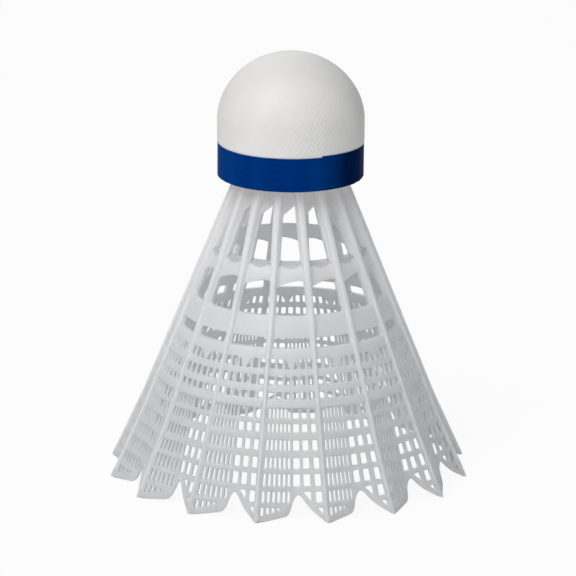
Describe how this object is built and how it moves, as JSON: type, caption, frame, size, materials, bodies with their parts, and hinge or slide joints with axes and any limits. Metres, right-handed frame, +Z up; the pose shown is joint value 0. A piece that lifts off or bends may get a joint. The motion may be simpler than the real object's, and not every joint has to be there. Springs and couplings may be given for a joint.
{
  "type": "badminton shuttlecock",
  "caption": "Synthetic badminton shuttlecock: cork head with a thin cover and tape band on a ribbed, open-mesh moulded nylon skirt with a pleated, scalloped rim.",
  "frame": {"origin": "centre of the rim plane, which the shuttlecock stands on, on the axis of the skirt", "axes": "+Z up the axis from the rim to the cork head, -Y the front, +X to the right"},
  "size_m": [0.0668, 0.0668, 0.0796],
  "materials": {
    "nylon": "satin, slightly translucent moulded nylon",
    "composite_cork": "cut composite cork, matt",
    "natural_cork": "ground natural cork, matt",
    "cover": "thin white coated leather with a fine pebbled grain",
    "tape": "deep blue glossy plastic tape",
    "glue": "set adhesive, pale and slightly clear"
  },
  "bodies": {
    "root": {"skirt": "nylon", "cork_base": "composite_cork", "cork_nose": "natural_cork", "head_cover": "cover", "tape_band": "tape", "spigot_glue": "glue"}
  },
  "joints": []
}
